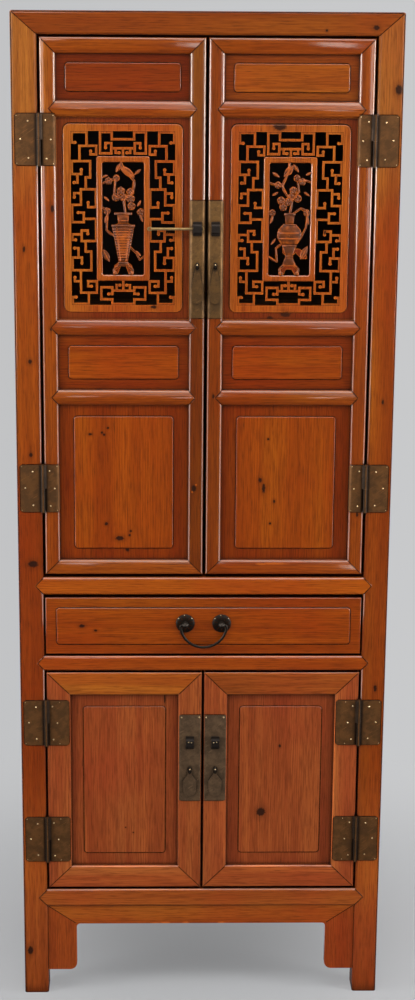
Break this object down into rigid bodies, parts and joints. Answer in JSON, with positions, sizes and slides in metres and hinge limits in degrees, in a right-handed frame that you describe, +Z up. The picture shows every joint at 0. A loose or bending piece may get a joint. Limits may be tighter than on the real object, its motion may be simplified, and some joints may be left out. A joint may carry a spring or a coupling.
{
  "type": "chinese book cabinet",
  "caption": "Tall lacquered wood book cabinet with latticed and panelled double doors above a drawer and lower double doors, on plain legs.",
  "frame": {"origin": "on the floor, under the middle of the whole outline including the drawer handle", "axes": "+Z up, -Y out of the front, +X to the viewer's right"},
  "size_m": [0.7, 0.46, 1.9],
  "materials": {
    "lacquered_frame": "shiny reddish-brown lacquer over softwood",
    "lacquered_panel": "shiny reddish-brown lacquer, straight grain",
    "carved_lattice": "lacquered openwork carving with dark recesses",
    "plain_wood": "plain inside and back boards, thinly stained",
    "aged_brass": "aged brown brass sheet and wire",
    "dark_brass": "dark aged brass sheet",
    "dark_bronze": "dark bronze fittings"
  },
  "bodies": {
    "cabinet": {"apron_spandrels": "lacquered_frame", "back_panels": "plain_wood", "back_rails": "plain_wood", "bottom_front_rail": "lacquered_frame", "drawer_rail": "lacquered_frame", "drawer_runners": "plain_wood", "front_apron": "lacquered_frame", "front_posts": "lacquered_frame", "hinge_pins": "aged_brass", "lower_floor": "plain_wood", "post_hinge_leaves": "aged_brass", "rear_posts": "lacquered_frame", "shelf": "plain_wood", "shelf_battens": "plain_wood", "side_aprons": "lacquered_frame", "side_panels": "lacquered_panel", "side_rails": "lacquered_frame", "top_long_rails": "lacquered_frame", "top_panel": "lacquered_panel", "top_side_rails": "lacquered_frame", "upper_floor": "plain_wood", "upper_front_rail": "lacquered_frame"},
    "upper_left_door": {"upper_left_hinge_leaves": "aged_brass", "upper_left_lattice": "carved_lattice", "upper_left_lock_plate": "aged_brass", "upper_left_panels": "lacquered_panel", "upper_left_rails": "lacquered_frame", "upper_left_staples": "dark_bronze", "upper_left_stiles": "lacquered_frame"},
    "upper_right_door": {"upper_right_hinge_leaves": "aged_brass", "upper_right_lattice": "carved_lattice", "upper_right_lock_plate": "aged_brass", "upper_right_panels": "lacquered_panel", "upper_right_rails": "lacquered_frame", "upper_right_staples": "dark_bronze", "upper_right_stiles": "lacquered_frame"},
    "lower_left_door": {"lower_left_hinge_leaves": "aged_brass", "lower_left_lock_plate": "dark_brass", "lower_left_panel": "lacquered_panel", "lower_left_rails": "lacquered_frame", "lower_left_staples": "dark_bronze", "lower_left_stiles": "lacquered_frame"},
    "lower_right_door": {"lower_right_hinge_leaves": "aged_brass", "lower_right_lock_plate": "dark_brass", "lower_right_panel": "lacquered_panel", "lower_right_rails": "lacquered_frame", "lower_right_staples": "dark_bronze", "lower_right_stiles": "lacquered_frame"},
    "upper_left_pull": {"upper_left_pull": "aged_brass"},
    "upper_right_pull": {"upper_right_pull": "aged_brass"},
    "lower_left_pull": {"lower_left_pull": "dark_brass"},
    "lower_right_pull": {"lower_right_pull": "dark_brass"},
    "lock_pin": {"lock_pin": "aged_brass"},
    "drawer": {"drawer_front": "lacquered_panel", "drawer_box": "plain_wood", "drawer_bottom": "plain_wood", "bail_rosettes": "dark_bronze", "bail_posts": "dark_bronze"},
    "drawer_bail": {"drawer_bail": "dark_bronze"}
  },
  "joints": [
    {"name": "upper_left_door_hinge", "type": "hinge", "parent": "cabinet", "child": "upper_left_door", "pos_m": [-0.301, -0.213, 0], "axis": [0, 0, -1], "range_deg": [0, 165]},
    {"name": "upper_right_door_hinge", "type": "hinge", "parent": "cabinet", "child": "upper_right_door", "pos_m": [0.301, -0.213, 0], "axis": [0, 0, 1], "range_deg": [0, 165]},
    {"name": "lower_left_door_hinge", "type": "hinge", "parent": "cabinet", "child": "lower_left_door", "pos_m": [-0.301, -0.213, 0], "axis": [0, 0, -1], "range_deg": [0, 165]},
    {"name": "lower_right_door_hinge", "type": "hinge", "parent": "cabinet", "child": "lower_right_door", "pos_m": [0.301, -0.213, 0], "axis": [0, 0, 1], "range_deg": [0, 165]},
    {"name": "drawer_slide", "type": "slide", "parent": "cabinet", "child": "drawer", "axis": [0, -1, 0], "range_m": [0, 0.28]},
    {"name": "drawer_bail_hinge", "type": "hinge", "parent": "drawer", "child": "drawer_bail", "pos_m": [0, -0.2225, 0.771], "axis": [-1, 0, 0], "range_deg": [0, 95]},
    {"name": "lock_pin_slide", "type": "slide", "parent": "upper_left_door", "child": "lock_pin", "axis": [-1, 0, 0], "range_m": [-0.041, 0]},
    {"name": "upper_left_pull_hinge", "type": "hinge", "parent": "upper_left_door", "child": "upper_left_pull", "pos_m": [-0.0165, -0.2136, 1.452], "axis": [-1, 0, 0], "range_deg": [0, 85]},
    {"name": "upper_right_pull_hinge", "type": "hinge", "parent": "upper_right_door", "child": "upper_right_pull", "pos_m": [0.0165, -0.2136, 1.452], "axis": [-1, 0, 0], "range_deg": [0, 85]},
    {"name": "lower_left_pull_hinge", "type": "hinge", "parent": "lower_left_door", "child": "lower_left_pull", "pos_m": [-0.0245, -0.2136, 0.475], "axis": [-1, 0, 0], "range_deg": [0, 85]},
    {"name": "lower_right_pull_hinge", "type": "hinge", "parent": "lower_right_door", "child": "lower_right_pull", "pos_m": [0.0245, -0.2136, 0.475], "axis": [-1, 0, 0], "range_deg": [0, 85]}
  ]
}
